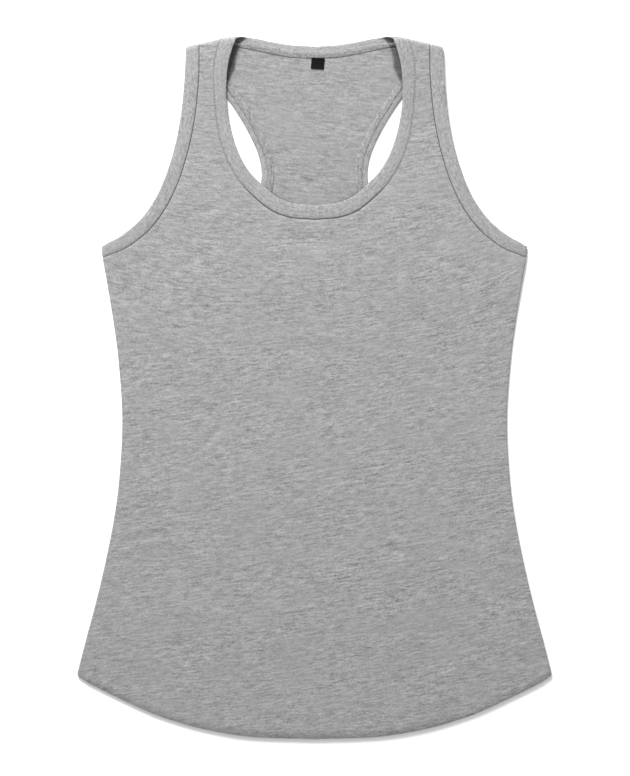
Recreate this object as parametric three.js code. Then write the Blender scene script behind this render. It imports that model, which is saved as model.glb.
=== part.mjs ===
import * as THREE from "three";

// A women's racerback tank top of heather jersey, laid flat with its front up.
// Millimetres. X runs across the garment, Y from the hem to the neck, Z up from the surface it lies on.
// Tables give half widths from the centre line and heights above the lowest point of the hem.

// Driving sizes
const BODY_LENGTH = 690;
const JERSEY = 1.2; // wall of the two panels
const BAND = 1.8; // jersey folded double along the neck and the armholes
const SEAM_GAP = 0.3; // between two pieces that are sewn together
const HEM_DEPTH = 65.5; // how far the side ends of the hem stand above its middle
const HEM_HALF = 233.3;
const BODY_STACK = 3.0; // from the surface to the top of the front, below the bust
const CHEST_STACK = 4.3; // the same from the armpits up, where doubled bands cross
const STACK_RISE = { from: 400, to: 465 }; // heights between which the one turns into the other
const STRAP_ROLL = { neck: 10.4, arm: 5.6 }; // how high the shoulder fold stands at its two ends
const STRAP_FALL = 84; // length over which the front comes down from the shoulder fold

// Cut edges are rounded: a nose of this length stands out of the middle of the edge
const PANEL_NOSE = 0.2;
const BAND_NOSE = 0.45;
// Room for the corners and straight stretches that stand out of a curve between its points
const CORNER_SPARE = 0.1;

const FRONT = 1;
const BACK = -1;

// Side edge
const SIDE = [
  { height: 65, half: 233.3 }, { height: 97, half: 225.1 }, { height: 136, half: 214.6 },
  { height: 175, half: 205.4 }, { height: 215, half: 197.4 }, { height: 254, half: 192.1 },
  { height: 313, half: 189.0 }, { height: 372, half: 192.7 }, { height: 411, half: 197.8 },
  { height: 451, half: 204.3 }, { height: 476, half: 208.6 }, { height: 490, half: 208.9 },
];
// Shoulder fold, carried on past both of its ends
const SHOULDER = [
  { half: 40, height: 706 }, { half: 60, height: 693 }, { half: 66, height: 691.1 },
  { half: 73, height: 689.9 }, { half: 80, height: 689.4 }, { half: 87.3, height: 688.6 },
  { half: 96.2, height: 686.6 }, { half: 104.8, height: 684.7 }, { half: 122.4, height: 680.7 },
  { half: 127, height: 679.5 }, { half: 140, height: 675.5 },
];
// Curved hem
const HEM = [
  { half: 0, height: 0 }, { half: 64, height: 2.4 }, { half: 111, height: 10.3 },
  { half: 139, height: 18.2 }, { half: 161, height: 26.1 }, { half: 195, height: 41.8 },
  { half: 226, height: 57.5 }, { half: 231.4, height: 61.2 }, { half: 233.3, height: 65.5 },
];

// The bands. Each row is a section across a band: where its free edge and its seam lie.
const NECK_FRONT = [
  { freeX: 0, freeY: 524.4, seamX: 0, seamY: 510.2 },
  { freeX: 22.3, freeY: 526.7, seamX: 24.1, seamY: 512.4 },
  { freeX: 36, freeY: 532.2, seamX: 41, seamY: 518.4 },
  { freeX: 48.7, freeY: 542.1, seamX: 57, seamY: 530.5 },
  { freeX: 63.5, freeY: 556.9, seamX: 73.7, seamY: 548 },
  { freeX: 74.5, freeY: 576, seamX: 86.8, seamY: 571 },
  { freeX: 83.1, freeY: 604.1, seamX: 95.3, seamY: 602.6 },
  { freeX: 86.5, freeY: 634, seamX: 98.5, seamY: 634 },
  { freeX: 84.8, freeY: 661, seamX: 98.7, seamY: 661 },
  { freeX: 80.6, freeY: 678, seamX: 96.2, seamY: 676 },
];
const NECK_BACK = [
  { freeX: 71.8, freeY: 689.2, seamX: 88.2, seamY: 686.2 },
  { freeX: 69.4, freeY: 689.3, seamX: 86.0, seamY: 683.0 },
  { freeX: 64.6, freeY: 688.9, seamX: 78.5, seamY: 680.8 },
  { freeX: 58, freeY: 688.1, seamX: 68, seamY: 679.3 },
  { freeX: 46, freeY: 685.7, seamX: 51, seamY: 676 },
  { freeX: 24, freeY: 681.9, seamX: 26, seamY: 671.2 },
  { freeX: 0, freeY: 680.4, seamX: 0, seamY: 669.8 },
];
const ARM_FRONT = [
  { freeX: 203.8, freeY: 486.7, seamX: 203.8, seamY: 474.6 },
  { freeX: 190.5, freeY: 493.9, seamX: 184.4, seamY: 482.8 },
  { freeX: 171.5, freeY: 509.7, seamX: 162, seamY: 500.5 },
  { freeX: 157, freeY: 529.5, seamX: 145.6, seamY: 522.5 },
  { freeX: 146.6, freeY: 552, seamX: 133.9, seamY: 547 },
  { freeX: 137.6, freeY: 580.5, seamX: 124.3, seamY: 577.3 },
  { freeX: 131.4, freeY: 612, seamX: 117.6, seamY: 610.5 },
  { freeX: 127.6, freeY: 650, seamX: 113.6, seamY: 650 },
  { freeX: 126.6, freeY: 673, seamX: 113.2, seamY: 674 },
];
const ARM_BACK = [
  { freeX: 203.8, freeY: 484.6, seamX: 203.8, seamY: 473.6 },
  { freeX: 150, freeY: 489, seamX: 149, seamY: 478 },
  { freeX: 96, freeY: 499.5, seamX: 92.2, seamY: 489.1 },
  { freeX: 69.5, freeY: 514, seamX: 62.3, seamY: 505.7 },
  { freeX: 56, freeY: 533, seamX: 45.9, seamY: 528.5 },
  { freeX: 52.1, freeY: 553, seamX: 41.1, seamY: 553 },
  { freeX: 54.9, freeY: 572.6, seamX: 44.3, seamY: 575.3 },
  { freeX: 65.2, freeY: 596.2, seamX: 55.3, seamY: 601 },
  { freeX: 79.3, freeY: 619.8, seamX: 70, seamY: 625.7 },
  { freeX: 91, freeY: 636.3, seamX: 82.3, seamY: 643 },
  { freeX: 107, freeY: 655.8, seamX: 98.7, seamY: 663 },
  { freeX: 122.5, freeY: 673.3, seamX: 112.6, seamY: 678.4 },
];
// Where the bands pass over the shoulder fold, and round the side at the armpit.
// Going down the front, the neck band swings outwards by its turns.
const NECK_OVER_SHOULDER = { free: 73.4, seam: 89.4, freeTurn: 4.4, seamTurn: 4.2 };
const ARM_OVER_SHOULDER = { free: 126.2, seam: 113.2 };
const ARM_ROUND_SIDE = { free: 484.4, seam: 473.4 };

// Label sewn in below the middle of the back neck band
const LABEL = { width: 12.8, height: 10.8, thick: 1.0, x: 3.2, y: 663.5, turn: -0.09, corner: 0.8 };

const { clamp, degToRad, lerp, smoothstep } = THREE.MathUtils;
const count = (n) => [...Array(n).keys()];

// A smooth function through the rows of a table, from one column to another
function smooth(rows, from, to) {
  const slopes = rows.map((row, i) => {
    const before = rows[Math.max(0, i - 1)];
    const after = rows[Math.min(rows.length - 1, i + 1)];
    return (after[to] - before[to]) / (after[from] - before[from]);
  });
  return (value) => {
    const last = rows.length - 2;
    const past = rows.findIndex((row) => row[from] > value);
    const i = past < 0 ? last : clamp(past - 1, 0, last);
    const span = rows[i + 1][from] - rows[i][from];
    const t = clamp((value - rows[i][from]) / span, 0, 1);
    const blend = t * t * (3 - 2 * t);
    const bend = slopes[i] * t * (1 - t) ** 2 - slopes[i + 1] * t ** 2 * (1 - t);
    return lerp(rows[i][to], rows[i + 1][to], blend) + span * bend;
  };
}
const sideAt = smooth(SIDE, "height", "half");
const shoulderAt = smooth(SHOULDER, "half", "height");
const hemAt = smooth(HEM, "half", "height");

// Heights of the layers above the surface
const stackAt = (y) => lerp(BODY_STACK, CHEST_STACK, smoothstep(y, STACK_RISE.from, STACK_RISE.to));

function rollAt(x) {
  const { free: neckEnd } = NECK_OVER_SHOULDER;
  const { free: armEnd } = ARM_OVER_SHOULDER;
  return lerp(STRAP_ROLL.neck, STRAP_ROLL.arm, clamp((x - neckEnd) / (armEnd - neckEnd), 0, 1));
}

function frontTop(x, y) {
  const onFold = clamp(x, NECK_OVER_SHOULDER.free, ARM_OVER_SHOULDER.free);
  const below = shoulderAt(onFold) - y - rollAt(x) / 2;
  return lerp(rollAt(x), stackAt(y), smoothstep(below, 0, STRAP_FALL));
}

// The middle surface of a piece over a place in plan. The outer faces of neighbours are flush.
// Near a fold the cloth rolls round its half height.
function onLayer(layer, thick, x, y) {
  const half = Math.abs(x);
  const folds = [
    { inside: shoulderAt(half) - y, high: rollAt(half) },
    { inside: sideAt(y) - half, high: stackAt(y) },
  ];
  const fold = folds.find(({ inside, high }) => inside < high / 2);
  if (!fold) {
    const z = layer === FRONT ? frontTop(half, y) - thick / 2 : thick / 2;
    return new THREE.Vector3(x, y, z);
  }
  const centre = fold.high / 2;
  const radius = centre - thick / 2;
  const reach = Math.min(radius, centre - fold.inside);
  return new THREE.Vector3(x, y, centre + layer * Math.sqrt(radius ** 2 - reach ** 2));
}

// Points round a fold by their angle: a quarter turn is the front, zero is the outermost line
function roundFold(thick, edge, high, angle) {
  const radius = high / 2 - thick / 2;
  return { out: edge - high / 2 + radius * Math.cos(angle), up: high / 2 + radius * Math.sin(angle) };
}
function overShoulder(thick, x, angle) {
  const { out, up } = roundFold(thick, shoulderAt(x), rollAt(x), angle);
  return new THREE.Vector3(x, out, up);
}
function roundSide(thick, y, angle) {
  const { out, up } = roundFold(thick, sideAt(y), stackAt(y), angle);
  return new THREE.Vector3(out, y, up);
}
// A panel stops short of the outermost line by this angle, which leaves its half of the seam gap
const seamAngle = (high) => Math.asin((SEAM_GAP / 2 + PANEL_NOSE + CORNER_SPARE) / (high / 2 - JERSEY / 2));

// A middle surface of four-sided cells from grids of points, welded where the grids meet
class ClothSurface {
  constructor() {
    this.points = [];
    this.cells = [];
    this.known = new Map();
  }

  vertex(point) {
    const key = point.toArray().map((value) => Math.round(value * 1e4)).join();
    if (!this.known.has(key)) {
      this.known.set(key, this.points.length);
      this.points.push(point);
    }
    return this.known.get(key);
  }

  // Rows are joined one to the next, and in a ring the last to the first
  addGrid(grid, { ring = false, flip = false } = {}) {
    const ids = grid.map((row) => row.map((point) => this.vertex(point)));
    for (const i of count(ring ? ids.length : ids.length - 1)) {
      const next = ids[(i + 1) % ids.length];
      for (const j of count(ids[i].length - 1)) {
        const cell = [ids[i][j], ids[i][j + 1], next[j + 1], next[j]];
        this.cells.push(flip ? cell.reverse() : cell);
      }
    }
    return this;
  }

  normals() {
    const sums = this.points.map(() => new THREE.Vector3());
    for (const [a, b, c, d] of this.cells) {
      const diagonal = this.points[c].clone().sub(this.points[a]);
      const other = this.points[d].clone().sub(this.points[b]);
      const facing = diagonal.cross(other);
      for (const id of [a, b, c, d]) sums[id].add(facing);
    }
    return sums.map((sum) => sum.normalize());
  }

  // Sides of cells that only one cell has, each with the cloth on its left
  borders() {
    const sides = this.cells.flatMap((cell) => cell.map((id, k) => [id, cell[(k + 1) % 4]]));
    const known = new Set(sides.map((side) => side.join()));
    return sides.filter(([from, to]) => !known.has(to + "," + from));
  }

  // The closed solid of this cloth: both faces, and between them a rounded edge all round
  solid({ thick, nose, edgeShare = 1 }) {
    const normals = this.normals();
    const borders = this.borders();
    const after = new Map(borders);
    const before = new Map(borders.map(([from, to]) => [to, from]));
    const half = (id) => (thick / 2) * (after.has(id) ? edgeShare : 1);
    const top = this.points.map((point, id) => point.clone().addScaledVector(normals[id], half(id)));
    const bottom = this.points.map((point, id) => point.clone().addScaledVector(normals[id], -half(id)));
    const under = this.points.length;
    const vertices = [...top, ...bottom];
    const noseOf = new Map();
    for (const id of after.keys()) {
      const along = this.points[after.get(id)].clone().sub(this.points[before.get(id)]);
      const outward = along.cross(normals[id]).normalize();
      noseOf.set(id, vertices.length);
      vertices.push(this.points[id].clone().addScaledVector(outward, nose));
    }
    const edgeFaces = borders.flatMap(([from, to]) => [
      [to, from, noseOf.get(from), noseOf.get(to)],
      [noseOf.get(to), noseOf.get(from), from + under, to + under],
    ]);
    const clothFaces = this.cells.flatMap((cell) => [cell, cell.map((id) => id + under).reverse()]);
    const faces = [...clothFaces, ...edgeFaces];
    const geometry = new THREE.BufferGeometry().setFromPoints(vertices);
    geometry.setIndex(faces.flatMap(([a, b, c, d]) => [a, b, c, a, c, d]));
    geometry.computeVertexNormals();
    return geometry;
  }
}
const mirrored = (grid) => grid.map((row) => row.map((point) => point.clone().setX(-point.x)));

// Bands. A section runs from the seam to the free edge, held in at both by the nose.
const BAND_SHARES = [0, 0.27, 0.73, 1];
const BAND_CLOTH = { thick: BAND, nose: BAND_NOSE, edgeShare: 0.6 };
const FOLD_ANGLES = [90, 60, 30, 0, -30, -60, -90].map(degToRad);
const SIDE_ANGLES = [90, 45, 0, -45, -90].map(degToRad);
const SECTIONS = { neckFront: 28, neckBack: 12, armFront: 27, armBack: 22 };

const held = (width, share) => lerp(BAND_NOSE / width, 1 - BAND_NOSE / width, share);
function acrossBand(seam, free) {
  return BAND_SHARES.map((share) => lerp(seam, free, held(Math.abs(free - seam), share)));
}

function edgeCurves(table) {
  return {
    seam: new THREE.CatmullRomCurve3(table.map((row) => new THREE.Vector3(row.seamX, row.seamY))),
    free: new THREE.CatmullRomCurve3(table.map((row) => new THREE.Vector3(row.freeX, row.freeY))),
  };
}

function bandSections(table, sections, layer) {
  const { seam, free } = edgeCurves(table);
  return count(sections + 1).map((k) => {
    const from = seam.getPoint(k / sections);
    const to = free.getPoint(k / sections);
    return BAND_SHARES.map((share) => {
      const place = from.clone().lerp(to, held(from.distanceTo(to), share));
      return onLayer(layer, BAND, place.x, place.y);
    });
  });
}

function neckOverShoulder(angle) {
  const swing = Math.sin(angle);
  const seam = NECK_OVER_SHOULDER.seam + NECK_OVER_SHOULDER.seamTurn * swing;
  const free = NECK_OVER_SHOULDER.free + NECK_OVER_SHOULDER.freeTurn * swing;
  return { seam, free };
}

function neckBand() {
  const climb = FOLD_ANGLES.filter((angle) => angle >= 0).map((angle) => {
    const { seam, free } = neckOverShoulder(angle);
    return acrossBand(seam, free).map((x) => overShoulder(BAND, x, angle));
  });
  const half = [
    ...bandSections(NECK_FRONT, SECTIONS.neckFront, FRONT),
    ...climb,
    ...bandSections(NECK_BACK, SECTIONS.neckBack, BACK),
  ];
  const otherHalf = mirrored(half).reverse().slice(1, -1);
  return new ClothSurface().addGrid([...half, ...otherHalf], { ring: true }).solid(BAND_CLOTH);
}

function armholeBand(handed) {
  const shoulder = FOLD_ANGLES.map((angle) =>
    acrossBand(ARM_OVER_SHOULDER.seam, ARM_OVER_SHOULDER.free).map((x) => overShoulder(BAND, x, angle)));
  const armpit = SIDE_ANGLES.map((angle) =>
    acrossBand(ARM_ROUND_SIDE.seam, ARM_ROUND_SIDE.free).map((y) => roundSide(BAND, y, angle)));
  const sections = [
    ...bandSections(ARM_FRONT, SECTIONS.armFront, FRONT),
    ...shoulder,
    ...bandSections(ARM_BACK, SECTIONS.armBack, BACK).reverse(),
    ...armpit.reverse(),
  ];
  const grid = handed > 0 ? sections : mirrored(sections);
  return new ClothSurface().addGrid(grid, { ring: true, flip: handed > 0 }).solid(BAND_CLOTH);
}

// Panels are made as the half on the positive side, row by row from the hem up, and mirrored
const BODY_ROWS = 11;
const ROW_SAG = 9; // the row at the armpits hangs this far below a straight line, the lower ones less
const PANEL_CLOTH = { thick: JERSEY, nose: PANEL_NOSE };
const CLEAR = SEAM_GAP + PANEL_NOSE + CORNER_SPARE;

// A panel's edge along a band: the band's seam moved off by the seam gap
function alongSeam(table) {
  const { seam, free } = edgeCurves(table);
  return (share) => {
    const onSeam = seam.getPoint(share);
    return onSeam.addScaledVector(onSeam.clone().sub(free.getPoint(share)).normalize(), CLEAR);
  };
}

// Rows of plan points below the armpits. Each follows the bow of the hem, which fades upwards,
// and ends in the half roll of the side fold.
function bodyRows(columns, centreTop) {
  const sideTop = ARM_ROUND_SIDE.seam - CLEAR;
  return count(BODY_ROWS + 1).map((k) => {
    const share = k / BODY_ROWS;
    const sideY = lerp(HEM_DEPTH, sideTop, share);
    const centreY = lerp(PANEL_NOSE, centreTop, share);
    const high = stackAt(sideY);
    const roll = [degToRad(90), degToRad(45), seamAngle(high)]
      .map((angle) => roundFold(JERSEY, sideAt(sideY), high, angle).out);
    const flat = count(columns - roll.length).map((j) => (roll[0] * j) / (columns - roll.length));
    return [...flat, ...roll].map((x) => {
      const out = x / sideAt(sideY);
      const rise = lerp(hemAt(out * HEM_HALF) / HEM_DEPTH, out, share);
      const sag = ROW_SAG * share * 4 * out * (1 - out);
      return { x, y: lerp(centreY, sideY, rise) - sag };
    });
  });
}

// The last rows of a panel at the shoulder, from where it leaves the flat to the seam on the fold
const ROLL_ANGLES = [90, 60, 30].map(degToRad);
const rollAngles = (x) => [...ROLL_ANGLES, seamAngle(rollAt(x))];

const FRONT_COLUMNS = 9;
function frontPanel() {
  const neck = alongSeam(NECK_FRONT);
  const arm = alongSeam(ARM_FRONT);
  const body = bodyRows(FRONT_COLUMNS, neck(0).y);
  const straps = count(SECTIONS.neckFront).map((k) => {
    const from = neck((k + 1) / SECTIONS.neckFront);
    const to = arm(k / SECTIONS.armFront);
    return count(FRONT_COLUMNS).map((j) => from.clone().lerp(to, j / (FRONT_COLUMNS - 1)));
  });
  const flat = [...body, ...straps].map((row) => row.map(({ x, y }) => onLayer(FRONT, JERSEY, x, y)));
  const fold = count(ROLL_ANGLES.length + 1).map((k) => {
    const from = neckOverShoulder(rollAngles(NECK_OVER_SHOULDER.seam)[k]).seam + CLEAR;
    const to = ARM_OVER_SHOULDER.seam - CLEAR;
    return count(FRONT_COLUMNS).map((j) => {
      const x = lerp(from, to, j / (FRONT_COLUMNS - 1));
      return overShoulder(JERSEY, x, rollAngles(x)[k]);
    });
  });
  return panelSolid([...flat, ...fold]);
}

const SHOULDER_COLUMNS = 3;
const BACK_COLUMNS = SECTIONS.neckBack + 1 + SHOULDER_COLUMNS;
const ARMPIT_ROW = 452; // height on the centre line of the back's row that ends at the armpits
const BACK_PACE = 1.3; // from there rows climb slower on the centre line than along the armhole, at first
// How much of the bow of the back's top edge its rows take up, and how late
const BOW = { share: 0.65, rise: 4 };
function backPanel() {
  const neck = alongSeam(NECK_BACK);
  const arm = alongSeam(ARM_BACK);
  const body = bodyRows(BACK_COLUMNS, ARMPIT_ROW);
  const neckEnd = NECK_OVER_SHOULDER.seam + CLEAR;
  const armEnd = ARM_OVER_SHOULDER.seam - CLEAR;
  const top = [
    ...count(SECTIONS.neckBack + 1).map((j) => neck(1 - j / SECTIONS.neckBack)),
    ...count(SHOULDER_COLUMNS).map((j) => {
      const x = lerp(neckEnd, armEnd, j / (SHOULDER_COLUMNS - 1));
      return overShoulder(JERSEY, x, seamAngle(rollAt(x)));
    }),
  ];
  // Plan points one step of the roll below the top edge
  const belowTop = (angle) => top.map(({ x, y }) => {
    const radius = rollAt(x) / 2 - JERSEY / 2;
    return { x, y: y - radius * (Math.cos(seamAngle(rollAt(x))) - Math.cos(angle)) };
  });
  const rollStart = belowTop(degToRad(90));
  const straight = (from, to, share) => ({ x: lerp(from.x, to.x, share), y: lerp(from.y, to.y, share) });
  const armTop = rollStart.at(-1);
  const centreTop = { x: 0, y: rollStart[0].y - (armTop.y - arm(1).y) };
  const upper = count(SECTIONS.armBack + 1).map((k) => {
    const share = k / SECTIONS.armBack;
    const climb = ((k + 1) / (SECTIONS.armBack + 1)) ** BACK_PACE;
    const centre = { x: 0, y: lerp(ARMPIT_ROW, centreTop.y, climb) };
    const edge = arm(share);
    return count(BACK_COLUMNS).map((j) => {
      const even = j / (BACK_COLUMNS - 1);
      const topShare = rollStart[j].x / armTop.x;
      const place = straight(centre, edge, lerp(even, topShare, share));
      const bow = rollStart[j].y - straight(rollStart[0], armTop, topShare).y;
      return { x: place.x, y: place.y + bow * BOW.share * share ** BOW.rise };
    });
  });
  const rows = [...body, ...upper, ...ROLL_ANGLES.map(belowTop), top];
  return panelSolid(rows.map((row) => row.map(({ x, y }) => onLayer(BACK, JERSEY, x, y))));
}

function panelSolid(half) {
  const surface = new ClothSurface().addGrid(half).addGrid(mirrored(half), { flip: true });
  return surface.solid(PANEL_CLOTH);
}

// The label is a short strip folded in two, so its lower edge is round and its sides are cut
function labelSolid() {
  const { width, height, thick, corner } = LABEL;
  const outline = new THREE.Shape()
    .moveTo(0, height / 2)
    .lineTo(0, -height / 2 + corner)
    .quadraticCurveTo(0, -height / 2, thick / 2, -height / 2)
    .quadraticCurveTo(thick, -height / 2, thick, -height / 2 + corner)
    .lineTo(thick, height / 2);
  return new THREE.ExtrudeGeometry(outline, { depth: width, bevelEnabled: false, curveSegments: 4 });
}

const heather = new THREE.MeshStandardMaterial({ color: "#a7a7a8", roughness: 0.95, metalness: 0 });
const heatherBand = new THREE.MeshStandardMaterial({ color: "#a3a3a4", roughness: 0.95, metalness: 0 });
const blackTape = new THREE.MeshStandardMaterial({ color: "#17181b", roughness: 0.7, metalness: 0 });

function piece(name, geometry, material) {
  const mesh = new THREE.Mesh(geometry, material);
  mesh.name = name;
  return mesh;
}

function labelPiece() {
  const { width, thick, x, y, turn } = LABEL;
  const mesh = piece("label", labelSolid().translate(-thick / 2, 0, -width / 2), blackTape);
  mesh.rotation.y = -Math.PI / 2;
  const place = new THREE.Group();
  place.position.set(x, y, JERSEY + SEAM_GAP + thick / 2);
  place.rotation.z = turn;
  return place.add(mesh);
}

const tankTop = new THREE.Group();
tankTop.name = "tank_top";
tankTop.position.y = -BODY_LENGTH / 2;
tankTop.add(
  piece("front_panel", frontPanel(), heather),
  piece("back_panel", backPanel(), heather),
  piece("neck_band", neckBand(), heatherBand),
  piece("armhole_band_left", armholeBand(1), heatherBand),
  piece("armhole_band_right", armholeBand(-1), heatherBand),
  labelPiece(),
);
export default tankTop;
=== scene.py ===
"""A racerback tank top of heather jersey, laid flat with its front up, seen from straight above.

Tables are in millimetres, as half widths from the centre line and heights above the hem's lowest point.
"""

import math

import bpy
import numpy as np
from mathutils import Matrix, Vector


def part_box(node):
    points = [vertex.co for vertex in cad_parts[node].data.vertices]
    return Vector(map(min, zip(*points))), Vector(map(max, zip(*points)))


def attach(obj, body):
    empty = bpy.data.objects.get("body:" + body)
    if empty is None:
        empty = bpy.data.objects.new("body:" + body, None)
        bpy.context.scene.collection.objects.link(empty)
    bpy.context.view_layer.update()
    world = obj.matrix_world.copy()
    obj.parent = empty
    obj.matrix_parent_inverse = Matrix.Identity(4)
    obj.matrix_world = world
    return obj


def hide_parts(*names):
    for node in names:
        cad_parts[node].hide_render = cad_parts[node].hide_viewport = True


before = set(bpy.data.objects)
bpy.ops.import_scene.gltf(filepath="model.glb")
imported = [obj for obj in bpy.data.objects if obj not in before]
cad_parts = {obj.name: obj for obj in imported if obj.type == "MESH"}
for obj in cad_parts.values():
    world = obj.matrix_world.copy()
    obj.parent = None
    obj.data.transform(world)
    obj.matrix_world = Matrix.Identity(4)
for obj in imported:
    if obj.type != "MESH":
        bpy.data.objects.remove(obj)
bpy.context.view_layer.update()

MM = 0.001
FRONT = 1
BACK = -1

# Sizes of the garment's solids
HEM_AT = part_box("front_panel")[0].y / MM
HEM_DEPTH = 65.5
HEM_HALF = 233.3
BODY_STACK = 3.0
CHEST_STACK = 4.3
STACK_RISE = (400, 465)
ROLL_AT_NECK = 10.4
ROLL_AT_ARM = 5.6
STRAP_FALL = 84
ARMPIT_ROW = 452
BACK_PACE = 1.3
BOW = {"share": 0.65, "rise": 4}

# Cloth as it is seen: thinner than the solids, with its outer faces where theirs are
JERSEY = 0.95
BAND = 1.7
EDGE_NOSE = 0.3
SEAM_ROOM = 0.25

SIDE = [
    (65, 233.3), (97, 225.1), (136, 214.6), (175, 205.4), (215, 197.4), (254, 192.1),
    (313, 189.0), (372, 192.7), (411, 197.8), (451, 204.3), (476, 208.6), (490, 208.9),
]
SHOULDER = [
    (40, 706), (60, 693), (66, 691.1), (73, 689.9), (80, 689.4), (87.3, 688.6),
    (96.2, 686.6), (104.8, 684.7), (122.4, 680.7), (127, 679.5), (140, 675.5),
]
HEM = [
    (0, 0), (64, 2.4), (111, 10.3), (139, 18.2), (161, 26.1), (195, 41.8),
    (226, 57.5), (231.4, 61.2), (233.3, 65.5),
]
# Bands: free edge x and y, seam x and y
NECK_FRONT = [
    (0, 524.4, 0, 510.2), (22.3, 526.7, 24.1, 512.4), (36, 532.2, 41, 518.4),
    (48.7, 542.1, 57, 530.5), (63.5, 556.9, 73.7, 548), (74.5, 576, 86.8, 571),
    (83.1, 604.1, 95.3, 602.6), (86.5, 634, 98.5, 634), (84.8, 661, 98.7, 661),
    (80.6, 678, 96.2, 676),
]
NECK_BACK = [
    (71.8, 689.2, 88.2, 686.2), (69.4, 689.3, 86.0, 683.0), (64.6, 688.9, 78.5, 680.8),
    (58, 688.1, 68, 679.3), (46, 685.7, 51, 676), (24, 681.9, 26, 671.2),
    (0, 680.4, 0, 669.8),
]
ARM_FRONT = [
    (203.8, 486.7, 203.8, 474.6), (190.5, 493.9, 184.4, 482.8), (171.5, 509.7, 162, 500.5),
    (157, 529.5, 145.6, 522.5), (146.6, 552, 133.9, 547), (137.6, 580.5, 124.3, 577.3),
    (131.4, 612, 117.6, 610.5), (127.6, 650, 113.6, 650), (126.6, 673, 113.2, 674),
]
ARM_BACK = [
    (203.8, 484.6, 203.8, 473.6), (150, 489, 149, 478), (96, 499.5, 92.2, 489.1),
    (69.5, 514, 62.3, 505.7), (56, 533, 45.9, 528.5), (52.1, 553, 41.1, 553),
    (54.9, 572.6, 44.3, 575.3), (65.2, 596.2, 55.3, 601), (79.3, 619.8, 70, 625.7),
    (91, 636.3, 82.3, 643), (107, 655.8, 98.7, 663), (122.5, 673.3, 112.6, 678.4),
]
NECK_OVER = {"free": 73.4, "seam": 89.4, "free_turn": 4.4, "seam_turn": 4.2}
ARM_OVER = {"free": 126.2, "seam": 113.2}
ARM_ROUND = {"free": 484.4, "seam": 473.4}
LABEL = {"width": 12.8, "height": 10.8, "x": 3.2, "y": 663.5, "turn": -0.09}


def lerp(a, b, share):
    return a + (b - a) * share


def smoothstep(value, low, high):
    t = np.clip((value - low) / (high - low), 0, 1)
    return t * t * (3 - 2 * t)


def smooth(rows):
    """A smooth function through the rows of a table."""
    xs, ys = np.array(rows, float).T
    order = np.arange(len(xs))
    before = np.maximum(order - 1, 0)
    after = np.minimum(order + 1, len(xs) - 1)
    slopes = (ys[after] - ys[before]) / (xs[after] - xs[before])

    def at(value):
        value = np.asarray(value, float)
        i = np.clip(np.searchsorted(xs, value, side="right") - 1, 0, len(xs) - 2)
        span = xs[i + 1] - xs[i]
        t = np.clip((value - xs[i]) / span, 0, 1)
        bend = slopes[i] * t * (1 - t) ** 2 - slopes[i + 1] * t**2 * (1 - t)
        return lerp(ys[i], ys[i + 1], t * t * (3 - 2 * t)) + span * bend

    return at


side_at = smooth(SIDE)
shoulder_at = smooth(SHOULDER)
hem_at = smooth(HEM)


# Heights of the layers
def stack_at(y):
    return lerp(BODY_STACK, CHEST_STACK, smoothstep(y, *STACK_RISE))


def roll_at(x):
    ends = NECK_OVER["free"], ARM_OVER["free"]
    return lerp(ROLL_AT_NECK, ROLL_AT_ARM, np.clip((x - ends[0]) / (ends[1] - ends[0]), 0, 1))


def front_top(x, y):
    on_fold = np.clip(x, NECK_OVER["free"], ARM_OVER["free"])
    below = shoulder_at(on_fold) - y - roll_at(x) / 2
    return lerp(roll_at(x), stack_at(y), smoothstep(below, 0, STRAP_FALL))


def inside_folds(x, y):
    """How far in from the shoulder fold and from the side fold a place lies, and how high each fold is."""
    half = np.abs(x)
    return (side_at(y) - half, stack_at(y)), (shoulder_at(half) - y, roll_at(half))


def on_layer(layer, thick, x, y):
    """Height of the middle of a cloth of that thickness over a place in plan."""
    z = front_top(np.abs(x), y) - thick / 2 if layer == FRONT else np.full(np.shape(x), thick / 2)
    for inside, high in inside_folds(x, y):
        centre = high / 2
        radius = centre - thick / 2
        reach = np.clip(centre - inside, 0, radius)
        z = np.where(inside < centre, centre + layer * np.sqrt(radius**2 - reach**2), z)
    return z


def round_fold(thick, edge, high, angle):
    radius = high / 2 - thick / 2
    return edge - high / 2 + radius * np.cos(angle), high / 2 + radius * np.sin(angle)


def over_shoulder(thick, x, angle):
    y, z = round_fold(thick, shoulder_at(x), roll_at(x), angle)
    return np.stack(np.broadcast_arrays(x, y, z), -1)


def round_side(thick, y, angle):
    x, z = round_fold(thick, side_at(y), stack_at(y), angle)
    return np.stack(np.broadcast_arrays(x, y, z), -1)


def seam_angle(high):
    return np.arcsin((SEAM_ROOM / 2 + EDGE_NOSE / 2) / (high / 2 - JERSEY / 2))


def neck_over(angle):
    swing = np.sin(angle)
    seam = NECK_OVER["seam"] + NECK_OVER["seam_turn"] * swing
    return seam, NECK_OVER["free"] + NECK_OVER["free_turn"] * swing


def curve_through(points):
    """A centripetal curve through points, as a function of the share of its spans."""
    points = np.array(points, float)
    ends = 2 * points[[0, -1]] - points[[1, -2]]
    padded = np.vstack([ends[:1], points, ends[1:]])
    knots = np.linalg.norm(np.diff(padded, axis=0), axis=1) ** 0.5

    def at(share):
        place = np.asarray(share, float) * (len(points) - 1)
        i = np.clip(np.floor(place).astype(int), 0, len(points) - 2)
        t = (place - i)[..., None]
        p0, p1, p2, p3 = (padded[i + k] for k in range(4))
        d0, d1, d2 = (knots[i + k][..., None] for k in range(3))
        t1 = ((p1 - p0) / d0 - (p2 - p0) / (d0 + d1) + (p2 - p1) / d1) * d1
        t2 = ((p2 - p1) / d1 - (p3 - p1) / (d1 + d2) + (p3 - p2) / d2) * d1
        cubic = 2 * p1 - 2 * p2 + t1 + t2
        square = -3 * p1 + 3 * p2 - 2 * t1 - t2
        return p1 + t1 * t + square * t**2 + cubic * t**3

    return at


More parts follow.
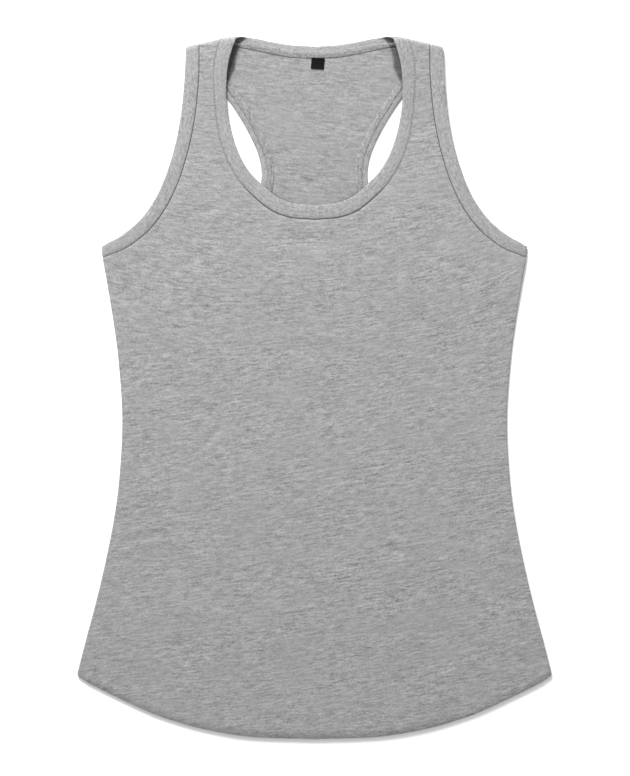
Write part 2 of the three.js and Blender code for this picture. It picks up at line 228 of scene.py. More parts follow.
def edge_curves(table):
    rows = np.array(table, float)
    return curve_through(rows[:, 2:]), curve_through(rows[:, :2])


def along_seam(table):
    """A panel's edge along a band: the band's seam moved off by the room of the seam."""
    seam, free = edge_curves(table)

    def at(share):
        on_seam = seam(share)
        off = on_seam - free(share)
        return on_seam + off / np.linalg.norm(off, axis=-1, keepdims=True) * (SEAM_ROOM + EDGE_NOSE / 2)

    return at


def graded(n, near=1.0, far=1.0, reach=0.12):
    """Shares from 0 to 1, closer together by these factors at the two ends."""
    fine = np.linspace(0, 1, 2000)
    density = 1 + (1 / near - 1) * np.exp(-((fine / reach) ** 2))
    density += (1 / far - 1) * np.exp(-(((1 - fine) / reach) ** 2))
    total = np.r_[0, np.cumsum((density[1:] + density[:-1]) / 2)]
    return np.interp(np.linspace(0, total[-1], n), total, fine)


# Folds and waves that the cloth has kept. Angle is the way the crease runs, bow how far its middle
# stands off the straight line, depth is of the trough (a ridge has a minus sign).
FRONT_CREASES = [
    # x, y, angle, length, width, bow, depth
    (-104, 295, 43, 68, 3.4, -2, 0.62),
    (-168, 195, 12, 76, 3.6, 6, 0.85),
    (-132, 220, -11, 30, 3.2, 2, 0.50),
    (-205, 106, 112, 34, 5.0, 3, 1.00),
    (-196, 146, -38, 38, 3.2, 2, 0.55),
    (-91, 117, 6, 52, 3.6, -3, 0.38),
    (-48, 38, 5, 70, 4.0, 3, 0.40),
    (54, 70, 91, 96, 4.2, 4, 0.55),
    (84, 48, 84, 34, 4.6, -2, 0.60),
    (40, 131, 70, 22, 3.6, 1, 0.40),
    (82, 184, -30, 28, 3.6, 1, 0.50),
    (126, 183, -50, 30, 3.4, -2, 0.45),
    (160, 127, -47, 66, 3.5, 6, 1.00),
    (190, 160, -24, 38, 3.4, 3, 0.85),
    (195, 114, -64, 46, 3.4, -3, 0.80),
    (167, 83, -34, 46, 3.6, 3, 0.95),
    (192, 205, -62, 34, 3.4, 1, 0.45),
    (205, 76, -12, 40, 4.6, 2, 0.60),
    (128, 30, 22, 30, 4.0, 2, 0.40),
    (-122, 468, 25, 62, 4.2, 3, 0.50),
    (124, 469, -26, 62, 4.2, 3, 0.50),
    (-174, 468, 18, 26, 4.0, 1, 0.70),
    (175, 468, -16, 26, 4.0, 1, 0.70),
    (-163, 455, 67, 50, 3.2, 1, -0.55),
    (162, 456, 113, 50, 3.2, -1, -0.55),
    (-103, 519, 20, 24, 4.0, 1, 0.40),
    (104, 520, -20, 24, 4.0, 1, 0.40),
    (0, 380, -4, 104, 8.0, 8, 0.62),
    (0, 492, 0, 88, 8.0, -5, 0.50),
    (120, 352, -22, 74, 6.0, 5, 0.40),
    (-150, 344, 26, 60, 5.5, -4, 0.36),
    (30, 262, -14, 100, 8.0, -6, 0.42),
]
BACK_CREASES = [
    (30, 118, 66, 82, 7.0, 6, 0.30),
    (-118, 96, 112, 60, 6.0, -5, 0.34),
    (138, 170, 76, 66, 7.0, 5, 0.30),
    (-60, 236, 168, 96, 9.0, 7, 0.26),
    (92, 316, 18, 80, 8.0, -6, 0.26),
    (-142, 352, 32, 62, 7.0, 5, 0.30),
    (154, 424, 152, 52, 6.0, -4, 0.34),
    (-8, 470, 86, 60, 7.0, 4, 0.26),
    (12, 552, 14, 56, 7.5, 4, 0.34),
    (-18, 612, 168, 60, 7.5, -5, 0.32),
    (34, 640, 24, 44, 6.0, 3, 0.30),
    (-30, 648, 146, 34, 5.0, -3, 0.22),
]
# Long soft waves: length across the wave, the way it runs, height and where it starts
WAVES = {
    FRONT: [(96, 14, 0.16, 0.4), (141, 97, 0.20, 2.1), (64, 48, 0.09, 1.3), (78, 128, 0.10, 5.0)],
    BACK: [(88, 20, 0.10, 1.9), (131, 84, 0.12, 0.3), (57, 140, 0.07, 3.9), (71, 61, 0.07, 2.6)],
}


# The layer beneath stops a trough at this depth, and the gain scales the depths of both tables
DEEPEST = 0.85
CREASE_GAIN = 2.8
# How far the turned hem and the pressed side allowance stand proud and where they end
HEM_STEP = 0.24
HEM_END = (8.5, 11)
HEM_DITCH = {"deep": 0.10, "at": 9.8, "wide": 1.1}
SIDE_STEP = 0.16
SIDE_END = (8, 11)
# Height of the gathers along a seam, depth of the ditch beside it, and the back's room over the surface
GATHER = 0.13
SEAM_DITCH = 0.22
OFF_FLOOR = 0.10
# Where the relief fades out towards the side fold and the shoulder fold
SIDE_FADE = (1.2, 6)
SHOULDER_FADE = (-1, 9)


def creases(table, x, y):
    total = np.zeros(np.shape(x))
    for cx, cy, angle, length, width, bow, depth in table:
        along_x, along_y = math.cos(math.radians(angle)), math.sin(math.radians(angle))
        s = ((x - cx) * along_x + (y - cy) * along_y) / (length / 2)
        t = (y - cy) * along_x - (x - cx) * along_y - bow * (0.5 - s**2)
        fade = np.clip(1 - s**2, 0, 1) ** 1.5
        across = np.exp(-((t / width) ** 2)) - 0.5 * np.exp(-((t / (2.2 * width)) ** 2))
        total -= CREASE_GAIN * depth * fade * across
    return np.where(total < 0, DEEPEST * np.tanh(total / DEEPEST), total)


def waves(layer, x, y):
    total = np.zeros(np.shape(x))
    for length, angle, high, start in WAVES[layer]:
        across = x * math.cos(math.radians(angle)) + y * math.sin(math.radians(angle))
        drift = 0.9 * np.sin(x / 83 + start) * np.cos(y / 97 - start)
        total += high * np.sin(2 * math.pi * across / length + start + drift)
    return total


def distance_to(line, x, y):
    """Least distance in plan to a line of points, and how far along it that lies."""
    flat = np.stack([np.ravel(np.abs(x)), np.ravel(y)], -1)
    along = np.r_[0, np.cumsum(np.linalg.norm(np.diff(line, axis=0), axis=1))]
    least = np.full(len(flat), 1e9)
    where = np.zeros(len(flat))
    for start in range(0, len(flat), 4000):
        part = slice(start, start + 4000)
        gap = np.linalg.norm(flat[part, None] - line[None], axis=-1)
        least[part] = gap.min(1)
        where[part] = along[gap.argmin(1)]
    return least.reshape(np.shape(x)), where.reshape(np.shape(x))


def pucker(along, kind):
    """Small uneven gathers along a seam, from -1 to 1."""
    first, second, third = (6.4, 9.7, 15.3) if kind == "neck" else (7.1, 11.2, 17.9)
    return (
        0.5 * np.sin(2 * math.pi * along / first + 1.7 * np.sin(along / 13))
        + 0.3 * np.sin(2 * math.pi * along / second + 0.8)
        + 0.2 * np.sin(2 * math.pi * along / third + 2.2 * np.sin(along / 31))
    )


FINE = np.linspace(0, 1, 240)
SEAMS = {
    FRONT: {"neck": along_seam(NECK_FRONT)(FINE), "arm": along_seam(ARM_FRONT)(FINE)},
    BACK: {"neck": along_seam(NECK_BACK)(FINE), "arm": along_seam(ARM_BACK)(FINE)},
}


def relief(layer, x, y):
    """How far the cloth stands off its form, outwards from the surface that it lies on."""
    out = waves(layer, x, y) + creases(FRONT_CREASES if layer == FRONT else BACK_CREASES, x, y)
    for kind, line in SEAMS[layer].items():
        far, along = distance_to(line, x, y)
        held = 1 - 0.85 * np.exp(-((far / 9) ** 2))
        out = out * held + GATHER * pucker(along, kind) * np.exp(-far / 6) * smoothstep(far, 0, 1.5)
        out = out - SEAM_DITCH * np.exp(-(far**2))
    (side, _), (fold, high) = inside_folds(x, y)
    hem = y - hem_at(np.clip(np.abs(x), 0, HEM_HALF))
    out = out * (1 - 0.6 * np.exp(-((hem / 10) ** 2)))
    out = out + HEM_STEP * (1 - smoothstep(hem, *HEM_END)) + SIDE_STEP * (1 - smoothstep(side, *SIDE_END))
    out = out - HEM_DITCH["deep"] * np.exp(-(((hem - HEM_DITCH["at"]) / HEM_DITCH["wide"]) ** 2))
    near, far = SHOULDER_FADE
    fade = smoothstep(side, *SIDE_FADE) * smoothstep(fold, high / 2 + near, high / 2 + far)
    out = out * fade
    if layer == BACK:
        # The back rests on the surface, so it only rises from it
        out = np.where(out > 0, out, 0.25 * out)
        out = OFF_FLOOR + np.maximum(out, -OFF_FLOOR)
        out = out * fade
    return out


# A thin shell from four-sided cells
def shell(name, grids, thick, nose, cloth, material):
    """grids: (points as rows by columns by xyz in mm, flip). cloth gives the cloth's own coordinates."""
    points = np.vstack([grid.reshape(-1, 3) for grid, _ in grids])
    cells, start = [], 0
    for grid, flip in grids:
        rows, columns = grid.shape[:2]
        ids = start + np.arange(rows * columns).reshape(rows, columns)
        cell = np.stack([ids[:-1, :-1], ids[:-1, 1:], ids[1:, 1:], ids[1:, :-1]], -1).reshape(-1, 4)
        cells.append(cell[:, ::-1] if flip else cell)
        start += rows * columns
    _, first, weld = np.unique(np.round(points, 3), axis=0, return_index=True, return_inverse=True)
    points = points[first]
    cells = weld.reshape(-1)[np.vstack(cells)]
    facing = np.cross(points[cells[:, 2]] - points[cells[:, 0]], points[cells[:, 3]] - points[cells[:, 1]])
    normals = np.zeros_like(points)
    for k in range(4):
        np.add.at(normals, cells[:, k], facing)
    normals /= np.maximum(np.linalg.norm(normals, axis=1, keepdims=True), 1e-9)
    n = len(points)
    sides = np.concatenate([cells[:, [k, (k + 1) % 4]] for k in range(4)])
    border = sides[~np.isin(sides[:, 0] * n + sides[:, 1], sides[:, 1] * n + sides[:, 0])]
    after, before = np.full(n, -1), np.full(n, -1)
    after[border[:, 0]] = border[:, 1]
    before[border[:, 1]] = border[:, 0]
    rim = np.unique(border)
    along = points[after[rim]] - points[before[rim]]
    outward = np.cross(along, normals[rim])
    outward /= np.linalg.norm(outward, axis=1, keepdims=True)
    # The edge is rounded in two steps on each face
    half = np.full(n, thick / 2)
    half[rim] *= 0.62
    top = points + normals * half[:, None]
    bottom = points - normals * half[:, None]
    tip = points[rim] + outward * nose
    tip_of = np.full(n, -1)
    tip_of[rim] = 2 * n + np.arange(len(rim))
    a, b = border.T
    faces = np.vstack([
        cells,
        cells[:, ::-1] + n,
        np.stack([b, a, tip_of[a], tip_of[b]], -1),
        np.stack([tip_of[b], tip_of[a], a + n, b + n], -1),
    ])
    vertices = np.vstack([top, bottom, tip])
    own = np.vstack([points, points, points[rim]])
    inner = np.r_[np.zeros(n), np.ones(n), np.zeros(len(rim))]
    return mesh_piece(name, vertices, faces, cloth(own, inner)[faces.ravel()], material)


def mesh_piece(name, vertices, faces, own, material):
    """A smooth mesh from points in mm, with the cloth's coordinates on each face's corners."""
    mesh = bpy.data.meshes.new(name)
    mesh.from_pydata(((vertices + (0, HEM_AT, 0)) * MM).tolist(), [], faces.tolist())
    mesh.polygons.foreach_set("use_smooth", np.ones(len(mesh.polygons), bool))
    attribute = mesh.attributes.new("cloth", "FLOAT_VECTOR", "CORNER")
    attribute.data.foreach_set("vector", np.asarray(own, np.float32).ravel())
    mesh.materials.append(material)
    mesh.update()
    piece = bpy.data.objects.new(name, mesh)
    bpy.context.scene.collection.objects.link(piece)
    return piece


# Panels, made as the half on the positive side, row by row from the hem up, and mirrored
COLUMNS = 62
SIDE_ROLL_COLUMNS = 7
ROW_SAG = 9
BODY_SHARES = graded(138, near=2.6, reach=0.03)
ROOM = SEAM_ROOM + EDGE_NOSE / 2
STRAP_ROWS = 84
BACK_ROWS = 112
FOLD_COLUMNS = 12


def body_half(layer, hand, centre_top, top_shares):
    share = BODY_SHARES[:, None]
    side_y = lerp(HEM_DEPTH, ARM_ROUND["seam"] - ROOM, share)
    centre_y = lerp(EDGE_NOSE, centre_top, share)
    high = stack_at(side_y)
    angles = lerp(math.pi / 2, seam_angle(high), np.linspace(0, 1, SIDE_ROLL_COLUMNS))
    roll_x, roll_z = round_fold(JERSEY, side_at(side_y), high, angles)
    below = graded(COLUMNS - SIDE_ROLL_COLUMNS + 1, far=2.5)
    above = np.interp(np.linspace(0, 1, len(below)), np.linspace(0, 1, len(top_shares)), top_shares)
    flat = roll_x[:, :1] * lerp(below, above, smoothstep(share, 0.8, 1))[:, :-1]
    x = np.hstack([flat, roll_x])
    out = x / side_at(side_y)
    rise = lerp(hem_at(out * HEM_HALF) / HEM_DEPTH, out, share)
    y = lerp(centre_y, side_y, rise) - ROW_SAG * share * 4 * out * (1 - out)
    half = lifted(layer, hand, x, y)
    half[:, -SIDE_ROLL_COLUMNS:, 2] = high / 2 + layer * (roll_z - high / 2)
    return half


def lifted(layer, hand, x, y):
    """Places of the half on the positive side, put on the hand's own side and given its relief."""
    own = hand * x + 0.0
    return np.stack([own, y, on_layer(layer, JERSEY, x, y) + relief(layer, own, y)], -1)


def front_half(hand):
    neck, arm = along_seam(NECK_FRONT), along_seam(ARM_FRONT)
    shares = graded(COLUMNS, near=2.2, far=2.2)
    rows = np.arange(STRAP_ROWS)
    start, end = neck((rows + 1) / len(rows)), arm(rows / (len(rows) - 1))
    plan = lerp(start[:, None], end[:, None], shares[None, :, None])
    straps = lifted(FRONT, hand, plan[..., 0], plan[..., 1])
    turned = np.linspace(0, 1, 10)[:, None]
    swing = lerp(math.pi / 2, math.radians(4), turned)
    x = lerp(neck_over(swing)[0] + ROOM, ARM_OVER["seam"] - ROOM, shares[None])
    fold = over_shoulder(JERSEY, x, lerp(math.pi / 2, seam_angle(roll_at(x)), turned))
    body = body_half(FRONT, hand, neck(np.zeros(1))[0, 1], shares)
    return np.vstack([body, straps, fold * (hand, 1, 1)])


def back_half(hand):
    neck, arm = along_seam(NECK_BACK), along_seam(ARM_BACK)
    on_neck = COLUMNS - FOLD_COLUMNS
    fine = np.linspace(0, 1, 2000)
    length = np.r_[0, np.cumsum(np.linalg.norm(np.diff(neck(1 - fine), axis=0), axis=1))]
    along_neck = neck(1 - np.interp(np.linspace(0, length[-1], on_neck), length, fine))
    x = np.linspace(NECK_OVER["seam"] + ROOM, ARM_OVER["seam"] - ROOM, COLUMNS - on_neck)
    along_fold = over_shoulder(JERSEY, x, seam_angle(roll_at(x)))[:, :2]
    top = np.vstack([along_neck, along_fold])
    radius = roll_at(top[:, 0]) / 2 - JERSEY / 2
    last = seam_angle(roll_at(top[:, 0]))

    def below_top(angle):
        return np.stack([top[:, 0], top[:, 1] - radius * (np.cos(last) - np.cos(angle))], -1)

    roll_start = below_top(np.full(COLUMNS, math.pi / 2))
    arm_top, arm_last = roll_start[-1], arm(np.ones(1))[0]
    centre_top = roll_start[0, 1] - (arm_top[1] - arm_last[1])
    share = np.linspace(0, 1, BACK_ROWS)[:, None]
    climb = np.linspace(0, 1, BACK_ROWS + 1)[1:, None] ** BACK_PACE
    centre = lerp(ARMPIT_ROW, centre_top, climb)
    edge = arm(share[:, 0])
    top_share = roll_start[:, 0] / arm_top[0]
    even = np.linspace(0, 1, COLUMNS)
    across = lerp(even[None], top_share[None], share)
    bow = roll_start[:, 1] - lerp(roll_start[0, 1], arm_top[1], top_share)
    y = lerp(centre, edge[:, 1:], across) + bow * BOW["share"] * share ** BOW["rise"]
    upper = lifted(BACK, hand, edge[:, :1] * across, y)
    turned = np.linspace(0, 1, 9)[:, None]
    angles = lerp(math.pi / 2, last, turned)
    fold_y = top[:, 1] - radius * (np.cos(last) - np.cos(angles))
    fold = lifted(BACK, hand, np.broadcast_to(top[:, 0], fold_y.shape), fold_y)
    return np.vstack([body_half(BACK, hand, ARMPIT_ROW, even), upper, fold])


def mirrored(grid):
    return grid * (-1, 1, 1)


def course_bend(layer, x, y):
    """How far the knitted rows have been pulled off level, from the way the streaks run."""
    wobble = 1.2 * np.sin(x / 71 + 1.2) + 2 * np.sin(y / 94 + x / 130)
    if layer == BACK:
        return 0.08 * x + wobble
    chest = smoothstep(y, 320, 500)
    arched = chest * (1 - 0.7 * smoothstep(y, 500, 590))
    return (-0.14 + 0.06 * chest) * x - 0.16 * arched * x**2 / 200 + wobble


def panel_cloth(layer, start):
    """Cloth coordinates in mm: along the knitted rows and across them."""
    def at(points, inner):
        x, y = points[:, 0], points[:, 1]
        return np.stack([x + start, y + course_bend(layer, x, y) + 900 * inner, inner], -1)
    return at


# Bands
def band_sections(table, count, layer, shares):
    seam, free = edge_curves(table)
    places = np.linspace(0, 1, count)
    plan = lerp(seam(places)[:, None], free(places)[:, None], shares[None, :, None])
    z = on_layer(layer, BAND, plan[..., 0], plan[..., 1])
    return np.concatenate([plan, z[..., None]], -1)


# How square a band's section is (2 is an ellipse), how far it swells outwards and how deep its gathers are
BAND_SQUARE = 2.9
BAND_SWELL = 0.20
BAND_GATHER = 0.14
BAND_SHARES = (1 - np.cos(np.linspace(0, math.pi, 13))) / 2 * 0.985 + 0.012


def neck_ring():
    front = band_sections(NECK_FRONT, 40, FRONT, BAND_SHARES)
    over = []
    for angle in np.radians([90, 72, 54, 36, 18, 0]):
        seam, free = neck_over(angle)
        over.append(over_shoulder(BAND, lerp(seam, free, BAND_SHARES), angle))
    back = band_sections(NECK_BACK, 20, BACK, BAND_SHARES)
    half = np.concatenate([front, np.array(over), back])
    return np.concatenate([half, mirrored(half)[::-1][1:-1]])


def armhole_ring(hand):
    front = band_sections(ARM_FRONT, 38, FRONT, BAND_SHARES)
    back = band_sections(ARM_BACK, 40, BACK, BAND_SHARES)
    x = lerp(ARM_OVER["seam"], ARM_OVER["free"], BAND_SHARES)
    y = lerp(ARM_ROUND["seam"], ARM_ROUND["free"], BAND_SHARES)
    over = [over_shoulder(BAND, x, angle) for angle in np.radians([80, 60, 40, 20, 0, -20, -40, -60, -80])]
    under = [round_side(BAND, y, angle) for angle in np.radians([-80, -55, -28, 0, 28, 55, 80])]
    ring = np.concatenate([front, np.array(over), back[::-1], np.array(under)])
    return ring if hand > 0 else mirrored(ring)


class Band:
    """The middle surface of a band, its outward normals, and how far along each station lies."""

    def __init__(self, ring, spacing=1.35):
        count, wide = ring.shape[:2]
        wrapped = np.concatenate([ring[-3:], ring, ring[:4]]).reshape(count + 7, -1)
        curve = curve_through(wrapped)
        fine = np.linspace(3, count + 3, 4000) / (count + 6)
        middle = curve(fine).reshape(-1, wide, 3)[:, wide // 2]
        length = np.r_[0, np.cumsum(np.linalg.norm(np.diff(middle, axis=0), axis=1))]
        stations = np.arange(round(length[-1] / spacing)) / round(length[-1] / spacing) * length[-1]
        self.length = length[-1]
        self.along = stations
        self.grid = curve(np.interp(stations, length, fine)).reshape(-1, wide, 3)
        onward = np.roll(self.grid, -1, 0) - np.roll(self.grid, 1, 0)
        across = np.gradient(self.grid, axis=1)
        normals = np.cross(onward, across)
        normals /= np.linalg.norm(normals, axis=2, keepdims=True)
        self.normals = normals * np.sign(normals[0, wide // 2, 2])
        self.across = across / np.linalg.norm(across, axis=2, keepdims=True)
        self.width = np.linalg.norm(self.grid[:, -1] - self.grid[:, 0], axis=1)

    def solid(self, name, material, kind, start):
        shares = (BAND_SHARES - BAND_SHARES[0]) / (BAND_SHARES[-1] - BAND_SHARES[0])
        profile = np.clip(1 - np.abs(2 * shares - 1) ** BAND_SQUARE, 0, 1) ** (1 / BAND_SQUARE)
        half = BAND / 2 * profile
        swell = np.sin(math.pi * shares) ** 0.8
        gathers = pucker(self.along, kind)[:, None] * np.exp(-shares * 2.4) * profile
        lift = BAND_SWELL * swell + BAND_GATHER * gathers
        rising = np.clip(self.normals[..., 2], 0, 1)
        sinking = np.clip(-self.normals[..., 2], 0, 1)
        outer = self.grid + self.normals * (half + lift * rising)[..., None]
        inner = self.grid - self.normals * (half + lift * sinking)[..., None]
        inner[..., 2] = np.maximum(inner[..., 2], 0)
        outer[..., 2] = np.maximum(outer[..., 2], 0)
        section = np.concatenate([outer, inner[:, -2:0:-1]], 1)
        count, points = section.shape[:2]
        ids = np.arange(count * points).reshape(count, points)
        faces = wall_cells(np.vstack([ids, ids[:1]]))
        u = np.r_[self.along, self.length] + start
        around = np.r_[shares, shares[-2:0:-1]] * self.width.mean()
        v = np.r_[around, around[0]]
        v[len(shares):-1] = v[len(shares):-1] + 60
        own = np.empty((count, points, 4, 3))
        for corner, (step, side) in enumerate([(0, 0), (0, 1), (1, 1), (1, 0)]):
            own[:, :, corner, 0] = u[np.arange(count) + step][:, None]
            own[:, :, corner, 1] = v[np.arange(points) + side][None]
            own[:, :, corner, 2] = 0
        vertices = section.reshape(-1, 3)
        if signed_volume(vertices, faces) < 0:
            faces, own = faces[:, ::-1], own[:, :, ::-1]
        return mesh_piece(name, vertices, faces, own.reshape(-1, 3), material)


def signed_volume(vertices, faces):
    a, b, c, d = (vertices[faces[:, k]] for k in range(4))
    return (np.einsum("ij,ij->i", a, np.cross(b, c)) + np.einsum("ij,ij->i", a, np.cross(c, d))).sum()


def wall_cells(rings):
    """Four-sided cells between each closed ring of points and the next, from the points' numbers."""
    beside = np.roll(rings, -1, 1)
    return np.stack([rings[:-1], beside[:-1], beside[1:], rings[1:]], -1).reshape(-1, 4)


def end_cells(rings):
    """Four-sided cells over the first ring and the last."""
    cells = []
    for cap in (rings[0, ::-1], rings[-1]):
        cells += [[cap[k], cap[k + 1], cap[-k - 2], cap[-k - 1]] for k in range(len(cap) // 2 - 1)]
    return cells


def tube_mesh(path, radius, sides=6, closed=False):
    """Points and faces of a thread with a radius at each point, tapered to its ends unless closed."""
    if closed:
        onward = np.roll(path, -1, 0) - np.roll(path, 1, 0)
    else:
        onward = np.gradient(path, axis=0)
        radius = radius.copy()
        radius[[0, -1]] *= 0.3
    onward /= np.linalg.norm(onward, axis=1, keepdims=True)
    side = np.cross(onward, np.broadcast_to((0, 0, 1), path.shape))
    side /= np.maximum(np.linalg.norm(side, axis=1, keepdims=True), 1e-6)
    rise = np.cross(side, onward)
    turn = np.arange(sides) / sides * 2 * math.pi
    ring = side[:, None] * np.cos(turn)[:, None] + rise[:, None] * np.sin(turn)[:, None]
    vertices = (path[:, None] + ring * radius[:, None, None]).reshape(-1, 3)
    ids = np.arange(len(path) * sides).reshape(-1, sides)
    if closed:
        faces = wall_cells(np.vstack([ids, ids[:1]]))
    else:
        faces = np.vstack([wall_cells(ids), end_cells(ids)])
    if signed_volume(vertices, faces) < 0:
        faces = faces[:, ::-1]
    return vertices, faces


def tube(name, path, radius, material, sides=6, closed=False, third=None):
    radius = np.broadcast_to(radius, len(path)).astype(float)
    vertices, faces = tube_mesh(np.asarray(path, float), radius, sides, closed)
    own = vertices.copy()
    if third is not None:
        own[:, 2] = np.repeat(third, sides)
    return mesh_piece(name, vertices, faces, own[faces.ravel()], material)


# Materials
class Nodes:
    """Short names for making and joining shader nodes."""

    def __init__(self, name):
        self.material = bpy.data.materials.new(name)
        self.material.use_nodes = True
        self.tree = self.material.node_tree
        self.shader = self.tree.nodes["Principled BSDF"]

    def node(self, kind, inputs=None, **settings):
        made = self.tree.nodes.new("ShaderNode" + kind)
        for key, value in settings.items():
            setattr(made, key, value)
        for key, value in (inputs or {}).items():
            self.put(made.inputs[key], value)
        return made

    def put(self, socket, value):
        if isinstance(value, bpy.types.NodeSocket):
            self.tree.links.new(value, socket)
        else:
            socket.default_value = value

    def math(self, operation, a, b=0.0, c=0.0):
        return self.node("Math", {0: a, 1: b, 2: c}, operation=operation).outputs[0]

    def vector(self, operation, a, b):
        return self.node("VectorMath", {0: a, 1: b}, operation=operation).outputs[0]

    def noise(self, place, size, detail=0.0, roughness=0.5, shift=(0.0, 0.0, 0.0)):
        """Noise from -1 to 1 or so, with features of that size in mm."""
        scale = tuple(1 / value for value in size)
        at = self.vector("ADD", self.vector("MULTIPLY", place, scale), shift)
        inputs = {"Vector": at, "Scale": 1.0, "Detail": detail, "Roughness": roughness}
        made = self.node("TexNoise", inputs, noise_dimensions="3D")
        return self.math("MULTIPLY_ADD", made.outputs["Fac"], 2.0, -1.0)

    def own_cloth(self):
        return self.node("Attribute", attribute_name="cloth", attribute_type="GEOMETRY").outputs["Vector"]

    def grey(self, tone):
        return self.node("CombineColor", {0: tone, 1: tone, 2: tone}).outputs[0]

    def surface(self, values):
        for name, value in values.items():
            self.put(self.shader.inputs[name], value)

    def bump(self, strength, distance, height):
        made = self.node("Bump", {"Strength": strength, "Distance": distance, "Height": height})
        self.surface({"Normal": made.outputs[0]})

    def total(self, parts):
        """The sum of several outputs, each times its weight."""
        sum_so_far = 0.0
        for value, weight in parts:
            sum_so_far = self.math("MULTIPLY_ADD", value, weight, sum_so_far)
        return sum_so_far


# Greys of the cloth outside and inside, of the bands, the overlocked allowances and the threads. The inside
# grey is painted a little darker than the outside, as shade for the back lying deeper under the front
GREY = 0.255
SHADED_INSIDE_GREY = 0.238
BAND_GREY = GREY * 1.01
ALLOWANCE_GREY = SHADED_INSIDE_GREY * 0.98
THREAD_GREY = 0.40
SEAM_GREY = 0.23
# Painted shade: the seam thread darkens towards this grey where the ditch of a seam lies in shade
SEAM_SHADE_GREY = 0.085
# Share of the light that is lost under the shoulder fold and under the front neck band
SHOULDER_SHADE = 0.66
NECK_SHADE = 0.62

# Streaks of the heather: length along the rows and height across them in mm, weight
PANEL_STREAKS = [
    ((10, 1.7, 9), 0.62), ((4.4, 1.35, 9), 0.26), ((1.9, 1.15, 9), 0.60),
    ((1.0, 0.9, 9), 0.40), ((24, 3.2, 9), 0.33),
]
INSIDE_STREAKS = [
    ((11, 2.0, 9), 0.62), ((4.6, 1.7, 9), 0.26), ((2.0, 1.5, 9), 0.52),
    ((1.1, 1.0, 9), 0.30), ((24, 3.8, 9), 0.33),
]
BAND_STREAKS = [
    ((5.0, 1.7, 9), 0.45), ((2.4, 1.4, 9), 0.48), ((1.5, 1.2, 9), 0.42), ((15, 3.4, 9), 0.18),
]


def heather(name, grey, contrast, streaks):
    """Jersey knitted from mixed light and dark fibres, with a matt, slightly hairy face."""
    n = Nodes(name)
    own = n.own_cloth()
    flat = n.vector("MULTIPLY", own, (1.0, 1.0, 0.0))
    wander = n.noise(flat, (13, 9, 9), detail=1.0, shift=(3.1, 7.7, 0.0))
    drift = n.node("CombineXYZ", {1: n.math("MULTIPLY", wander, 0.7)}).outputs[0]
    place = n.vector("ADD", flat, drift)
    parts = []
    for k, (size, weight) in enumerate(streaks):
        parts.append((n.noise(place, size, shift=(17.3 * k, 5.9 * k, 2.3 * k)), weight))
    mixed = n.total(parts)
    # The fibres are better mixed in some places than in others
    patchy = n.math("MULTIPLY_ADD", n.noise(flat, (46, 30, 9), detail=1.0, shift=(9.0, 2.0, 4.0)), 0.75, 1.0)
    # Tufts of undyed fibre are rarer and brighter, tufts of black fibre a little stronger
    tufts = n.noise(place, (5.2, 1.1, 9), shift=(41.0, 13.0, 8.0))
    pale = n.math("MULTIPLY", n.math("MAXIMUM", n.math("SUBTRACT", tufts, 0.30), 0.0), 0.7)
    black = n.math("MAXIMUM", n.math("SUBTRACT", n.math("MULTIPLY", tufts, -1.0), 0.30), 0.0)
    mixed = n.math("SUBTRACT", n.math("ADD", mixed, pale), black)
    mixed = n.math("MULTIPLY", mixed, n.math("MAXIMUM", patchy, 0.3))
    cloudy = n.noise(flat, (60, 34, 9), detail=1.0, shift=(4.0, 8.0, 1.0))
    level = n.math("MULTIPLY_ADD", cloudy, 0.03, 1.0)
    tone = n.math("MULTIPLY", n.math("MULTIPLY_ADD", mixed, contrast, level), grey)
    tone = n.math("MAXIMUM", tone, 0.02)
    colour = n.grey(tone)
    n.surface({"Base Color": colour, "Roughness": 0.92, "Specular IOR Level": 0.22})
    n.surface({"Sheen Weight": 0.18, "Sheen Roughness": 0.45})
    # Knit: legs of the stitches lean to and fro along each column of loops
    split = n.node("SeparateXYZ", {0: place})
    column = n.math("PINGPONG", split.outputs[0], 0.48)
    row = n.math("MULTIPLY_ADD", column, 0.9, split.outputs[1])
    legs = n.math("SINE", n.math("MULTIPLY", row, 2 * math.pi / 0.78))
    ribs = n.math("SINE", n.math("MULTIPLY", split.outputs[0], 2 * math.pi / 0.96))
    fuzz = n.noise(place, (0.55, 0.5, 0.5), detail=2.0, roughness=0.6, shift=(1.0, 1.0, 1.0))
    height = n.total([(legs, 0.30), (ribs, 0.22), (fuzz, 0.75), (mixed, 0.5)])
    n.bump(0.22, 0.0004, height)
    return n, colour


def stitch_material():
    """Pale grey sewing thread with a slightly uneven face."""
    n = Nodes("stitch_thread")
    place = n.node("TexCoord").outputs["Object"]
    in_mm = n.vector("MULTIPLY", place, (1000.0, 1000.0, 1000.0))
    grain = n.noise(in_mm, (1.2, 1.2, 1.2), detail=1.0)
    tone = n.math("MULTIPLY", n.math("MULTIPLY_ADD", grain, 0.3, 1.0), THREAD_GREY)
    n.surface({"Base Color": n.grey(tone), "Roughness": 0.85})
    n.bump(0.3, 0.0003, grain)
    return n.material


# How far out from the centre line the back lies in the shade of the shoulder fold: height, half width
SHADE_EDGE = [
    (620, 99), (628, 87), (644, 84.5), (651, 81.7), (659, 77.9), (666, 77.3), (672.5, 76), (680, 73.4),
    (688, 67.8), (694, 60),
]
# Where the free edge of the front neck band stands over the back: half width, height
UNDER_NECK = [row[:2] for row in NECK_FRONT[:7]]


def table_curve(n, value, rows, low, high):
    """The smooth curve through the rows of a table, as a node; both columns run within low and high."""
    first, last = rows[0][0], rows[-1][0]
    share = n.math("DIVIDE", n.math("SUBTRACT", value, first), last - first)
    curve = n.node("FloatCurve", {"Value": share})
    points = curve.mapping.curves[0].points
    for row, out in rows:
        at = ((row - first) / (last - first), (out - low) / (high - low))
        if row in (first, last):
            points[0 if row == first else -1].location = at
        else:
            points.new(*at)
    curve.mapping.update()
    return n.math("MULTIPLY_ADD", curve.outputs[0], high - low, low)


